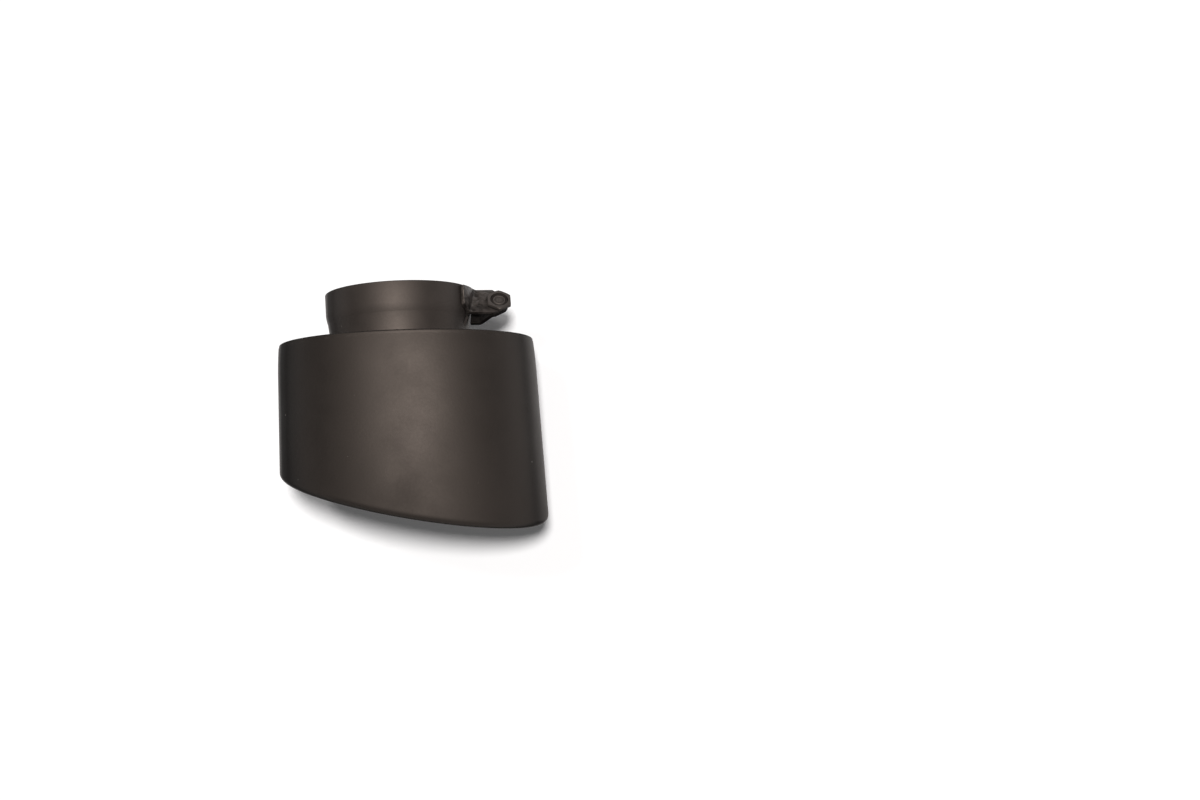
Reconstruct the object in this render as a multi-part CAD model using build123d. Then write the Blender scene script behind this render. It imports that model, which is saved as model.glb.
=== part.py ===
"""Oval exhaust tip with a slash-cut outlet and a slit collar that clamps on a tailpipe.

Millimetres. The origin is the centre of the collar's mouth. +Y points out of the mouth, along the
tailpipe, +Z up and +X to the side that carries the clamp. The outlet faces -Y. The pieces are made
with the oval level, and are then rolled about the collar's axis to how the tip comes to rest.
"""
from build123d import *
import os
from math import cos, radians, sin, tan

# Collar: a swaged tube whose wide band slips over the tailpipe
collar_bore_radius = 39.5
collar_wall = 1.5
band_length = 12.5
step_length = 7.1
neck_bore_radius = 37.4
rim_rounding = 0.5
neck_inside_reach = 3.0

# Body: sleeve and front plate, turned a little about the upright axis against the collar
body_turn = 1.5

# Rest: the tip rolls to the clamp's side until its weight is over the ground seam on its underside
rest_roll = 5.0
seam_flat_depth = 0.35

# Sleeve: oval sections that flare a little from the front plate to the outlet
front_width = 145.2
front_height = 104.4
outlet_width = 149.4
outlet_height = 107.4
collar_reach = 28.7
sleeve_length = 89.5
sleeve_wall = 1.5
sleeve_offset = 4.1
outlet_shift = 2.5
front_draw_in = 0.7
front_draw_length = 18.0

# Slash cut of the outlet: longer on the clamp side and along the top
slash_plan_angle = 11.8
slash_rake_angle = 14.7

# Rolled-in lip around the outlet
lip_width = 8.0
lip_outer_rounding = 4.0
lip_inner_rounding = 3.0
lip_return_depth = 9.0

# Front plate
plate_thickness = 2.0
plate_inset = 0.5
plate_edge_rounding = 1.5
neck_hole_clearance = 0.1

# Weld bead between neck and front plate
bead_leg = 1.8
bead_bulge = 1.0
bead_clearance = 0.15

# Clamp bolt and its place: the head looks up, towards the mouth and a little outwards
bolt_tilt = 35.8
bolt_lean = 8.9
clamp_turn = 3.3
head_face_centre = (58.0, -8.4, 7.0)
bolt_radius = 4.0
bolt_end_chamfer = 0.8
head_across_flats = 13.0
head_height = 2.2
head_corner_drop = 0.4
head_corner_run = 0.8
head_dish_radius = 5.1
head_dish_depth = 0.7
head_dish_slope = 0.6
head_pad_radius = 3.6
head_pad_drop = 0.25

# Clamp lugs: a leg wrapped on the band and an ear that the bolt pulls together
lug_front_reach = 9.85
lug_rear_reach = 7.8
lug_rim_gap = 0.7
ear_end_radius = 5.3
ear_front_shoulder = -3.2
ear_rear_shoulder = -2.2
upper_lug_thickness = 2.0
lower_lug_thickness = 2.0
ear_gap = 0.3
leg_clearance = 0.05
leg_bend_radius = 2.5
upper_leg_angle = 24.5
lower_leg_length = 9.0
lower_root_drop = 6.3
lower_flat_start = -4.0
lower_root_start = -10.5
lower_bend_radius = 3.0
bolt_hole_clearance = 0.3
tapped_hole_clearance = 0.05

# Slit in the collar, square to the bolt
slit_width = 4.0
slit_depth = 23.0

# Derived values
band_radius = collar_bore_radius + collar_wall
neck_radius = neck_bore_radius + collar_wall
leg_seat_radius = band_radius + leg_clearance
front_y = -collar_reach
sleeve_front_y = front_y - plate_thickness
plan_slope = tan(radians(slash_plan_angle))
rake_slope = tan(radians(slash_rake_angle))
cut_reach = plan_slope * outlet_width / 2 + rake_slope * outlet_height / 2
loft_end = sleeve_length + cut_reach
roll_outer_rounding = lip_outer_rounding - sleeve_wall
roll_inner_rounding = lip_inner_rounding - sleeve_wall
span = 4 * band_radius
body_place = Rot(0, 0, -body_turn)
rest_place = Rot(0, rest_roll, 0)
down = Vector(0, 0, -1).rotate(Axis.Y, -rest_roll).rotate(Axis.Z, body_turn)

# The clamp's frame: origin on the bolt halfway between the ears, x outwards, y to the mouth, z along the bolt
bolt_axis = Vector(
    sin(radians(bolt_lean)),
    cos(radians(bolt_lean)) * sin(radians(bolt_tilt)),
    cos(radians(bolt_lean)) * cos(radians(bolt_tilt)),
)
head_top = ear_gap / 2 + upper_lug_thickness + head_height
clamp_origin = Vector(*head_face_centre) - bolt_axis * head_top
outwards = (Vector(1, 0, 0) - bolt_axis * bolt_axis.X).normalized()
clamp = Plane(origin=clamp_origin, x_dir=outwards, z_dir=bolt_axis).rotated((0, 0, clamp_turn))


def ring_cylinder(radius, start_y, end_y):
    """Solid cylinder about the collar's axis."""
    middle = (start_y + end_y) / 2
    return Plane(origin=(0, middle, 0), z_dir=(0, 1, 0)) * Cylinder(radius, abs(end_y - start_y))


def flare(distance, front, outlet):
    """Full size of a section at a distance behind the front, on the straight flare."""
    return front + (outlet - front) * distance / sleeve_length


def draw_in(distance):
    """How far the sleeve draws in near its front edge."""
    share = max(0.0, 1.0 - distance / front_draw_length)
    return front_draw_in * share**2


def rest_level(distance, rise=0.0):
    """How far down a section reaches, square to the floor, if its middle lies at this height."""
    half_width = flare(distance, front_width, outlet_width) / 2
    half_height = flare(distance, front_height, outlet_height) / 2
    middle = Vector(sleeve_offset + outlet_shift * distance / sleeve_length, front_y - distance, rise)
    return middle.dot(down) + ((half_width * down.X) ** 2 + (half_height * down.Z) ** 2) ** 0.5


def section_middle(distance):
    """Middle of a section; the line that the tip rests on stays level, so the tip lies flat."""
    centre_x = sleeve_offset + outlet_shift * distance / sleeve_length
    centre_z = (rest_level(0.0) - rest_level(distance)) / down.Z
    return Vector(centre_x, front_y - distance, centre_z)


def section(distance, inset):
    """Oval section of the sleeve."""
    half_width = flare(distance, front_width, outlet_width) / 2
    half_height = flare(distance, front_height, outlet_height) / 2
    loss = inset + draw_in(distance)
    place = Plane(origin=section_middle(distance), x_dir=(1, 0, 0), z_dir=(0, -1, 0))
    return place * Ellipse(half_width - loss, half_height - loss)


def oval_body(inset, start=0.0):
    """Solid through the oval sections, all drawn in by the inset: a curved front and a straight flare."""
    steps = 4
    run = (front_draw_length - start) / steps
    front = loft([section(start + run * step, inset) for step in range(steps + 1)])
    straight = loft([section(front_draw_length, inset), section(loft_end, inset)], ruled=True)
    return front + straight


def slash_plane(depth=0.0):
    """Plane of the outlet's cut, moved inwards by a depth; it looks out of the outlet."""
    outward = Vector(-plan_slope, -1, -rake_slope).normalized()
    centre = section_middle(sleeve_length)
    return Plane(origin=centre - outward * depth, x_dir=(1, -plan_slope, 0), z_dir=outward)


def cut_off(body, depth=0.0):
    """The part of a body that lies inside the outlet's cut."""
    return split(body, bisect_by=slash_plane(depth), keep=Keep.BOTTOM)


def edges_on_cut(body, depth=0.0):
    """The oval edges that a body has in the outlet's cut, the shortest first."""
    plane = slash_plane(depth)
    on_plane = [edge for edge in body.edges() if abs(plane.to_local_coords(edge.center()).Z) < 0.2]
    return sorted(on_plane, key=lambda edge: edge.length)


def below_seam():
    """Space below the flat strip that grinding the sheet's seam leaves on the underside."""
    flat = Plane(origin=down * (rest_level(0.0) - seam_flat_depth), z_dir=down)
    return flat * Pos(0, 0, span) * Box(4 * span, 4 * span, 2 * span)


def make_sleeve():
    """Flared oval sleeve whose outlet edge is rolled in and turned back."""
    outside = cut_off(oval_body(0.0, plate_thickness))
    outside = fillet(edges_on_cut(outside)[-1], lip_outer_rounding)
    mouth = oval_body(lip_width, plate_thickness)
    skin = outside - mouth
    skin = fillet(edges_on_cut(skin)[0], lip_inner_rounding)
    cavity = cut_off(oval_body(sleeve_wall, plate_thickness), sleeve_wall)
    cavity = fillet(edges_on_cut(cavity, sleeve_wall)[-1], roll_outer_rounding)
    behind_lip = cut_off(oval_body(0.0, plate_thickness), lip_return_depth)
    turned_back = oval_body(lip_width - sleeve_wall, plate_thickness) - behind_lip
    cavity = cavity - turned_back
    cavity = fillet(edges_on_cut(cavity, sleeve_wall)[0], roll_inner_rounding)
    return body_place * (skin - cavity - below_seam())


def make_front_plate():
    """Flat oval end plate with a rounded edge and a hole for the neck."""
    blank = extrude(section(plate_thickness, plate_inset), plate_thickness, dir=(0, 1, 0))
    blank = fillet(blank.edges().group_by(Axis.Y)[-1], plate_edge_rounding)
    hole = ring_cylinder(neck_radius + neck_hole_clearance, front_y - span, front_y + span)
    return body_place * blank - hole


def collar_wall_line(radius_change):
    """Meridian of the collar: band, S-shaped step and neck, in the plane of X and Y."""
    band = band_radius + radius_change
    neck = neck_radius + radius_change
    step_start = -band_length
    step_end = step_start - step_length
    end_y = sleeve_front_y - neck_inside_reach
    straight_band = Line((band, 0), (band, step_start))
    step = Spline((band, step_start), (neck, step_end), tangents=[(0, -1), (0, -1)])
    straight_neck = Line((neck, step_end), (neck, end_y))
    return straight_band + step + straight_neck


def make_collar():
    """Swaged collar with a slit, square to the bolt, that lets the band close on the tailpipe."""
    outer = collar_wall_line(0.0)
    inner = collar_wall_line(-collar_wall)
    rim = Line(outer @ 0, inner @ 0)
    end = Line(outer @ 1, inner @ 1)
    wall = make_face([*outer.edges(), *inner.edges(), rim, end])
    tube = revolve(wall, Axis.Y)
    outer_rim = tube.edges().group_by(Axis.Y)[-1].sort_by(SortBy.LENGTH)[-1]
    tube = fillet(outer_rim, rim_rounding)
    slit_place = clamp.offset(-lower_root_drop / 2)
    rim_point = slit_place.to_local_coords(Vector(band_radius, 0, 0))
    slit_front = rim_point.Y + slit_depth
    slit_rear = rim_point.Y - slit_depth
    reach = head_face_centre[0]
    slit_centre_y = (slit_front + slit_rear) / 2
    slit = slit_place * Pos(-reach / 2, slit_centre_y, 0) * Box(reach, slit_front - slit_rear, slit_width)
    relief = slit_place * Pos(-reach / 2, slit_rear, 0) * Rot(0, 90, 0) * Cylinder(slit_width / 2, reach)
    return tube - slit - relief


def lug_outline():
    """Flat outline of a lug in the clamp's frame: wide at the root, tapered to a round end at the bolt."""
    root = -head_face_centre[0]
    corners = [
        (root, -lug_rear_reach),
        (ear_rear_shoulder, -lug_rear_reach),
        (ear_front_shoulder, lug_front_reach),
        (root, lug_front_reach),
    ]
    end = Circle(ear_end_radius)
    return make_hull([*Polyline(*corners, close=True).edges(), *end.edges()])


def lug_column():
    """Column with the lug's outline along the bolt, cut off square just short of the collar's rim."""
    column = clamp * extrude(lug_outline(), span / 2, both=True)
    beyond_rim = Pos(0, span - lug_rim_gap, 0) * Box(4 * span, 2 * span, 4 * span)
    return column - beyond_rim


def leg_shell(thickness):
    """Curved sheet that lies on the collar's band."""
    return ring_cylinder(leg_seat_radius + thickness, -span, span) - ring_cylinder(leg_seat_radius, -span, span)


def clamp_slab(low, high):
    """Slab between two heights along the bolt, over the outer half of the collar only."""
    middle = (low + high) / 2
    return clamp.offset(middle) * Pos(span / 2 - head_face_centre[0], 0, 0) * Box(span, span, high - low)


def bolt_bore(clearance):
    """Clearance hole along the bolt."""
    return clamp * Cylinder(bolt_radius + clearance, span)


def below_leg_end():
    """Space below the plane through the collar's axis where the upper leg ends."""
    ending = Plane.XY.rotated((0, -upper_leg_angle, 0))
    return ending * Pos(0, 0, -span / 2) * Box(2 * span, 2 * span, span)


def make_upper_lug():
    """Sheet lug above the slit: a leg up the band and a flat ear under the bolt's head."""
    low = ear_gap / 2
    high = low + upper_lug_thickness
    leg = leg_shell(upper_lug_thickness) & clamp_slab(low, span / 2) & below_leg_end()
    ear = clamp_slab(low, high) - ring_cylinder(leg_seat_radius, -span, span)
    lug = (leg + ear) & lug_column()
    outer_radius = leg_seat_radius + upper_lug_thickness

    def is_crease(edge):
        middle = edge @ 0.5
        height = clamp.to_local_coords(middle).Z
        radius = (middle.X**2 + middle.Z**2) ** 0.5
        return abs(height - high) < 0.05 and abs(radius - outer_radius) < 0.05

    lug = fillet(lug.edges().filter_by(is_crease), leg_bend_radius)
    return lug - bolt_bore(bolt_hole_clearance)


def make_lower_lug():
    """Lug below the slit: its ear rises to meet the upper one and is tapped for the bolt."""
    flat = -ear_gap / 2 - lower_lug_thickness / 2
    root = flat - lower_root_drop
    inner_end = -head_face_centre[0]
    outer_end = 2 * ear_end_radius
    bend_line = FilletPolyline(
        (inner_end, root),
        (lower_root_start, root),
        (lower_flat_start, flat),
        (outer_end, flat),
        radius=lower_bend_radius,
    )
    edge_plane = Plane(origin=clamp.origin, x_dir=clamp.x_dir, z_dir=-clamp.y_dir)
    strip = edge_plane * trace(bend_line, line_width=lower_lug_thickness)
    ear = extrude(strip, span / 2, both=True) - ring_cylinder(leg_seat_radius, -span, span)
    ear = ear & clamp_slab(root - lower_lug_thickness, 0)
    leg_top = root + lower_lug_thickness / 2
    leg = leg_shell(lower_lug_thickness) & clamp_slab(leg_top - lower_lug_thickness - lower_leg_length, leg_top)
    leg = leg & ring_cylinder(span / 2, -band_length, span)
    lug = (leg + ear) & lug_column()
    return lug - bolt_bore(tapped_hole_clearance)


def make_bolt():
    """Hex bolt with a low head, a dished top and a shank that ends flush below the lower ear."""
    head_bottom = head_top - head_height
    end = -ear_gap / 2 - lower_lug_thickness
    hexagon = RegularPolygon(head_across_flats / 2, 6, major_radius=False, rotation=30)
    head = extrude(Pos(0, 0, head_bottom) * hexagon, head_height)
    corner_radius = head_across_flats / 2 / cos(radians(30))
    crown_profile = make_face(
        Polyline(
            (0, head_bottom),
            (corner_radius, head_bottom),
            (corner_radius, head_top - head_corner_drop),
            (corner_radius - head_corner_run, head_top),
            (head_dish_radius, head_top),
            (head_dish_radius - head_dish_slope, head_top - head_dish_depth),
            (head_pad_radius, head_top - head_dish_depth),
            (0, head_top - head_pad_drop),
            close=True,
        )
    )
    crown = revolve(Plane.XZ * crown_profile, Axis.Z)
    shank = Pos(0, 0, (head_bottom + end) / 2) * Cylinder(bolt_radius, head_bottom - end)
    shank = chamfer(shank.edges().group_by(Axis.Z)[0], bolt_end_chamfer)
    return clamp * ((head & crown) + shank)


def make_collar_weld():
    """Fillet bead round the neck where it passes through the front plate, square to the plate."""
    inner = neck_radius + bead_clearance
    corner = (inner, front_y)
    face_end = (inner + bead_leg, front_y)
    neck_end = (inner, front_y + bead_leg)
    crest = (inner + bead_bulge, front_y + bead_bulge)
    bead = make_face([Line(corner, face_end), ThreePointArc(face_end, crest, neck_end), Line(neck_end, corner)])
    neck_shift = collar_reach * tan(radians(body_turn))
    return body_place * Pos(neck_shift, 0, 0) * revolve(bead, Axis.Y)


parts = {
    "outer_sleeve": make_sleeve(),
    "front_plate": make_front_plate(),
    "inlet_collar": make_collar(),
    "upper_clamp_lug": make_upper_lug(),
    "lower_clamp_lug": make_lower_lug(),
    "clamp_bolt": make_bolt(),
    "collar_weld": make_collar_weld(),
}

os.makedirs("parts", exist_ok=True)
for name, solid in parts.items():
    export_step(rest_place * solid, f"parts/{name}.step")
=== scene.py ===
"""Visible pieces, coatings and studio stage for an oval slash-cut exhaust tip with a clamped collar.

Metres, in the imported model's frame: the origin is the centre of the collar's mouth, +Y points out of
the mouth, +Z up and +X to the side that carries the clamp.
"""

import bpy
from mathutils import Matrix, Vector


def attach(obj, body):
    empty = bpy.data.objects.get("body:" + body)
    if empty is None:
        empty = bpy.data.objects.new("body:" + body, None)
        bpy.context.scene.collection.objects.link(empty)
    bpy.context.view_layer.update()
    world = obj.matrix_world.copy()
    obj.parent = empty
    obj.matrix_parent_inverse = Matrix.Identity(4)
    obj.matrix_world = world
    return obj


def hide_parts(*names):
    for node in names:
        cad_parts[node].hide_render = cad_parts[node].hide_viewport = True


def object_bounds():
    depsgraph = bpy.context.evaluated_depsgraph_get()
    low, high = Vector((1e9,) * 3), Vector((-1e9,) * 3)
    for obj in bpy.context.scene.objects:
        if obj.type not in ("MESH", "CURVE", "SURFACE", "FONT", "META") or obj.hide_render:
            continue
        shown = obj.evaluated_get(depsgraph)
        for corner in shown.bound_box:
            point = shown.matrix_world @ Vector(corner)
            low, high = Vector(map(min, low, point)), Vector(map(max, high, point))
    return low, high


bl_info = {
    "name": "Exhaust tip",
    "version": (1, 0, 0),
    "blender": (4, 5, 0),
    "location": "View3D > Sidebar > Exhaust tip",
    "description": "Models the sheet-metal pieces of an oval exhaust tip, its coatings and its studio stage",
    "category": "Object",
}

from math import atan2, cos, hypot, pi, radians, sin, tan

import bmesh
import bpy
from bpy.props import FloatProperty, FloatVectorProperty, IntProperty, PointerProperty
from bpy.types import NodeSocket, Operator, Panel, PropertyGroup
from mathutils import Matrix, Vector

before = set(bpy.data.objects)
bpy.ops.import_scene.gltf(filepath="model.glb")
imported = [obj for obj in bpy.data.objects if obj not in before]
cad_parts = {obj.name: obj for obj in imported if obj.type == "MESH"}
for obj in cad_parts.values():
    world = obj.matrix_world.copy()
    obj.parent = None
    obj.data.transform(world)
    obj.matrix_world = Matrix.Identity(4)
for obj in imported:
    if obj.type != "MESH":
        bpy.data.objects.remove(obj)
cad_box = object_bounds()

MERGE_DISTANCE = 1e-6  # Points closer than this count as one
FACE_MARGIN = 1e-5  # Points closer than this to a face's edge count as on the edge
RING_POINTS = 192  # Points round the sleeve, the plate and the collar


def setting(kind, **limits):
    """Maker of one kind of value that a user can change, in metres where it is a length."""

    def make(name, description, default):
        return kind(name=name, description=description, default=default, **limits)

    return make


def angle(name, description, degrees):
    """An angle that a user can change, given in degrees."""
    return FloatProperty(name=name, description=description, default=radians(degrees), unit="ROTATION")


length = setting(FloatProperty, unit="LENGTH", precision=5)
share = setting(FloatProperty, precision=4)
colour = setting(FloatVectorProperty, subtype="COLOR", size=3, min=0.0, max=1.0)
point = setting(FloatVectorProperty, subtype="TRANSLATION", unit="LENGTH", size=3)
direction = setting(FloatVectorProperty, subtype="DIRECTION", size=3)


class SleeveSizes(PropertyGroup):
    front_width: length("Front width", "Width of the oval at the front plate", 0.1452)
    front_height: length("Front height", "Height of the oval at the front plate", 0.1044)
    outlet_width: length("Outlet width", "Width of the oval at the outlet", 0.1494)
    outlet_height: length("Outlet height", "Height of the oval at the outlet", 0.1074)
    run: length("Length", "From the front plate to the middle of the outlet", 0.0894)
    offset: length("Offset", "How far the oval's middle lies beside the collar's axis", 0.0041)
    outlet_shift: length("Outlet shift", "How much further the oval has moved over at the outlet", 0.0025)
    draw_in: length("Draw-in", "How far the oval draws in at its front edge", 0.0007)
    draw_run: length("Draw-in length", "Length over which the front draws in", 0.018)
    wall: length("Wall", "Thickness of the sheet", 0.0015)
    turn: angle("Turn", "Turn of the body against the collar about the upright axis", 1.5)
    rest_roll: angle("Rest roll", "Roll of the whole tip about the collar's axis as it lies at rest", 5.0)
    plan_angle: angle("Plan angle", "Slant of the outlet seen from above", 11.8)
    rake_angle: angle("Rake angle", "Slant of the outlet seen from the side", 14.7)
    lip_width: length("Lip width", "From the sleeve's outside to the opening", 0.008)
    outer_roll: length("Outer roll", "Radius where the sheet rolls over at the outlet", 0.004)
    inner_roll: length("Inner roll", "Radius where the lip turns back into the opening", 0.003)
    return_depth: length("Return depth", "How far the turned-back lip reaches into the opening", 0.009)


class CollarSizes(PropertyGroup):
    bore_radius: length("Bore radius", "Inner radius of the band that slips over the tailpipe", 0.0395)
    wall: length("Wall", "Thickness of the tube", 0.0015)
    band_length: length("Band length", "Length of the wide band at the mouth", 0.0118)
    shoulder_length: length("Shoulder length", "Length of the rounded shoulder behind the band", 0.0052)
    shoulder_drop: length("Shoulder drop", "How far the shoulder falls to its crease", 0.00095)
    shoulder_curve: share("Shoulder curve", "How late the shoulder falls off", 1.5)
    taper_length: length("Taper length", "Length of the light taper from the crease to the neck", 0.0095)
    neck_bore_radius: length("Neck bore radius", "Inner radius of the neck", 0.0374)
    reach: length("Reach", "From the mouth to the neck's end inside the sleeve", 0.0337)
    rim_rounding: length("Rim rounding", "Rounding of the mouth's outer edge", 0.0005)
    slit_width: length("Slit width", "Width of the slit under the clamp", 0.004)
    slit_depth: length("Slit depth", "How far the slit reaches along the clamp", 0.023)
    slit_drop: length("Slit drop", "How far the slit lies below the gap between the ears", 0.00315)


class PlateSizes(PropertyGroup):
    reach: length("Reach", "From the collar's mouth to the plate's front", 0.0287)
    thickness: length("Thickness", "Thickness of the plate", 0.002)
    inset: length("Inset", "How far the plate stands back from the sleeve's outside", 0.0003)
    rounding: length("Rounding", "Rounding of the plate's front edge", 0.0009)
    hole_radius: length("Hole radius", "Radius of the hole for the neck", 0.039)


class WeldSizes(PropertyGroup):
    inner_radius: length("Inner radius", "Radius where the bead meets the neck", 0.03905)
    leg: length("Leg", "Leg of the bead on neck and plate", 0.0018)
    bulge: length("Bulge", "How far the middle of the bead stands out of its corner", 0.001)
    ripple: length("Ripple depth", "Depth of the dips between two ripples", 0.00012)
    ripples: IntProperty(name="Ripples", description="Number of ripples round the neck", default=88, min=8)


class ClampSizes(PropertyGroup):
    bolt_tilt: angle("Bolt tilt", "Tilt of the bolt towards the mouth", 35.8)
    bolt_lean: angle("Bolt lean", "Lean of the bolt away from the collar", 8.9)
    turn: angle("Clamp turn", "Turn of the clamp about the bolt", 3.3)
    head_face: point("Head face", "Middle of the bolt head's top", (0.0580, -0.0084, 0.0070))
    across_flats: length("Across flats", "Width of the bolt's head across its flats", 0.013)
    head_height: length("Head height", "Height of the bolt's head", 0.0022)
    corner_drop: length("Corner drop", "Height of the chamfer at the head's corners", 0.0004)
    corner_run: length("Corner run", "Width of the chamfer at the head's corners", 0.0008)
    dish_radius: length("Dish radius", "Radius of the dish in the head", 0.0049)
    dish_depth: length("Dish depth", "Depth of the dish's ring groove", 0.0008)
    dish_slope: length("Dish slope", "Width of the dish's slanting wall", 0.0003)
    groove_width: length("Groove width", "Width of the ring groove's floor", 0.0008)
    pad_radius: length("Pad radius", "Radius of the raised pad in the dish", 0.0033)
    pad_drop: length("Pad drop", "How far the pad lies below the head's rim", 0.0003)
    hollow_radius: length("Hollow radius", "Radius of the shallow hollow in the pad", 0.0024)
    hollow_drop: length("Hollow drop", "How far the hollow lies below the head's rim", 0.0006)
    bolt_edge: length("Bolt edge", "Rounding of the bolt's edges", 0.00014)
    shank_radius: length("Shank radius", "Radius of the bolt's shank", 0.004)
    shank_chamfer: length("Shank chamfer", "Chamfer at the shank's end", 0.0008)
    ear_gap: length("Ear gap", "Gap between the two ears", 0.0003)
    ear_thickness: length("Ear thickness", "Thickness of each ear", 0.002)
    edge_break: length("Edge break", "Rounding of the punched edges of the lugs", 0.00022)


class CoatingLooks(PropertyGroup):
    body_colour: colour("Body coating", "Matte coating of sleeve and plate", (0.0062, 0.005, 0.0045))
    # Painted light: a lighter copy of the body's coating that stands in for the extra light falling on the
    # collar's band
    collar_colour: colour("Collar coating", "Thin coating of collar and weld", (0.0205, 0.0169, 0.0153))
    clamp_colour: colour("Clamp coating", "Satin coating of the upper lug", (0.025, 0.0214, 0.0196))
    bolt_colour: colour("Bolt coating", "Even satin coating of the bolt", (0.04, 0.0345, 0.0315))
    # Painted shade: the lower lug is coloured near black and made less glossy to stand in for the shade
    # under the upper ear
    shaded_lug_colour: colour("Black oxide", "Dull black of the lower lug", (0.0045, 0.004, 0.0038))
    sheen_colour: colour("Sheen", "Warm tint of the light that coatings throw back", (1.0, 0.835, 0.735))
    worn_colour: colour("Worn edge", "Colour of a rubbed edge", (0.075, 0.068, 0.063))
    speck_colour: colour("Specks", "Colour of dust specks", (0.12, 0.112, 0.104))
    # Painted shade: near-black colour laid into corners, creases and the rings of the bolt's head where
    # shade falls
    painted_shade_colour: colour("Grime", "Colour of the dirt in the clamp's corners", (0.0035, 0.0032, 0.003))
    body_roughness: share("Body roughness", "Roughness of the matte coating", 0.57)
    clamp_roughness: share("Clamp roughness", "Roughness of the upper lug's satin coating", 0.42)
    dull_roughness: share("Dull roughness", "Roughness of bolt and lower lug", 0.52)
    body_grain: share("Body grain", "Strength of the matte coating's grain", 0.4)
    clamp_grain: share("Clamp grain", "Strength of the satin coating's grain", 0.3)
    clamp_lumps: length("Clamp lumps", "Height of the lumps in the thick coating on the lugs", 0.0009)
    outlet_dulling: share("Outlet dulling", "How much rougher heat makes the coating at the outlet", 0.12)
    smudge_dulling: share("Smudge dulling", "How much rougher the smudge is", 0.035)
    smudge_place: point("Smudge place", "Middle of the smudge on the sleeve", (0.0101, -0.1202, 0.0546))


class StageLooks(PropertyGroup):
    floor_colour: colour("Floor", "Colour of the floor", (0.93, 0.93, 0.94))
    floor_lift: share("Floor lift", "Light that the floor adds so that it reads as white", 0.075)
    key_power: share("Key power", "Power of the key lamp in watts", 197.0)
    key_way: direction("Key direction", "Direction of the key lamp seen from the tip", (0.145, 0.055, 0.98))
    fill_power: share("Fill power", "Power of the fill lamp in watts", 28.0)
    fill_way: direction("Fill direction", "Direction of the fill lamp seen from the tip", (-0.25, 0.3, 0.92))
    lamp_size: length("Lamp size", "Width of each lamp", 0.67)
    lamp_distance: length("Lamp distance", "How far each lamp hangs from the tip", 4.5)
    room_level: share("Room level", "Brightness of the room's soft light", 0.055)
    lens: share("Lens", "Focal length on a 36 mm wide sensor, in millimetres", 57.72)
    camera_place: point("Camera place", "Where the camera stands", (0.21716, -0.19232, 1.06439))


def start_over():
    """Leaves edit mode and drops the whole selection."""
    if bpy.context.mode != "OBJECT":
        bpy.ops.object.mode_set(mode="OBJECT")
    bpy.ops.object.select_all(action="DESELECT")


def choose(piece):
    """Selects one object alone and makes it active."""
    start_over()
    piece.select_set(True)
    bpy.context.view_layer.objects.active = piece


def edit(piece, kind="VERT"):
    """Opens one piece for editing with everything selected."""
    choose(piece)
    bpy.ops.object.mode_set(mode="EDIT")
    bpy.ops.mesh.select_mode(type=kind)
    bpy.ops.mesh.select_all(action="SELECT")


def pick(piece, kind, test):
    """Opens one piece for editing with only those vertices or edges selected that pass a test of place."""
    edit(piece, kind)
    bpy.ops.mesh.select_all(action="DESELECT")
    work = bmesh.from_edit_mesh(piece.data)
    if kind == "VERT":
        for vertex in work.verts:
            vertex.select_set(test(vertex.co))
    else:
        for edge in work.edges:
            edge.select_set(all(test(vertex.co) for vertex in edge.verts))
    work.select_flush_mode()
    bmesh.update_edit_mesh(piece.data)


def name_piece(piece, name):
    """Gives an object and its mesh one name."""
    piece.name = name
    piece.data.name = name


def draw_through(name, ovals, points=RING_POINTS):
    """Tube through a row of upright ovals, each a centre, a half width and a half height."""
    centre, half_width, half_height = ovals[0]
    start_over()
    bpy.ops.mesh.primitive_circle_add(vertices=points, radius=1.0, location=centre, rotation=(pi / 2, 0, 0))
    piece = bpy.context.object
    name_piece(piece, name)
    piece.scale = (half_width, half_height, 1.0)
    bpy.ops.object.transform_apply(location=True, rotation=True, scale=True)
    edit(piece, "EDGE")
    for start, end in zip(ovals, ovals[1:]):
        move = Vector(end[0]) - Vector(start[0])
        bpy.ops.mesh.extrude_region_move(TRANSFORM_OT_translate={"value": move})
        factors = (end[1] / start[1], 1.0, end[2] / start[2])
        bpy.ops.transform.resize(value=factors, center_override=end[0])
    start_over()
    return piece


def quarter_round(radius, steps):
    """Points of a rounded edge, as distances from the two faces that it joins."""
    turns = [step / steps * pi / 2 for step in range(steps + 1)]
    return [(radius * (1 - cos(turn)), radius * (1 - sin(turn))) for turn in turns]


def add_cylinder(points, radius, depth, height=0.0):
    """Adds an upright cylinder whose middle lies at a height, with its place in its mesh."""
    start_over()
    bpy.ops.mesh.primitive_cylinder_add(vertices=points, radius=radius, depth=depth, location=(0, 0, height))
    bpy.ops.object.transform_apply(location=True)
    return bpy.context.object


def close_up(piece):
    """Merges the seams of a piece and turns its faces outwards."""
    edit(piece)
    bpy.ops.mesh.remove_doubles(threshold=MERGE_DISTANCE)
    bpy.ops.mesh.normals_make_consistent(inside=False)
    start_over()


def apply_modifier(piece, kind, **settings):
    """Adds a modifier with these settings and applies it."""
    choose(piece)
    modifier = piece.modifiers.new(kind.title(), kind)
    for key, value in settings.items():
        setattr(modifier, key, value)
    bpy.ops.object.modifier_apply(modifier=modifier.name)


def combine(piece, tool, operation):
    """Joins, cuts or crops a piece with a helper solid, which is then deleted."""
    apply_modifier(piece, "BOOLEAN", object=tool, operation=operation, solver="EXACT")
    bpy.data.objects.remove(tool)


def put_in_place(piece, place):
    """Moves a finished piece and leaves its object at the origin."""
    choose(piece)
    piece.matrix_world = place
    bpy.ops.object.transform_apply(location=True, rotation=True, scale=True)


def hand_over(piece, node, coating, smooth_degrees=35.0):
    """Smooths a finished piece, coats it and lets it stand for its node."""
    choose(piece)
    bpy.ops.object.shade_smooth_by_angle(angle=radians(smooth_degrees))
    piece.data.materials.clear()
    piece.data.materials.append(coating)
    start_over()
    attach(piece, "root")
    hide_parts(node)


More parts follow.
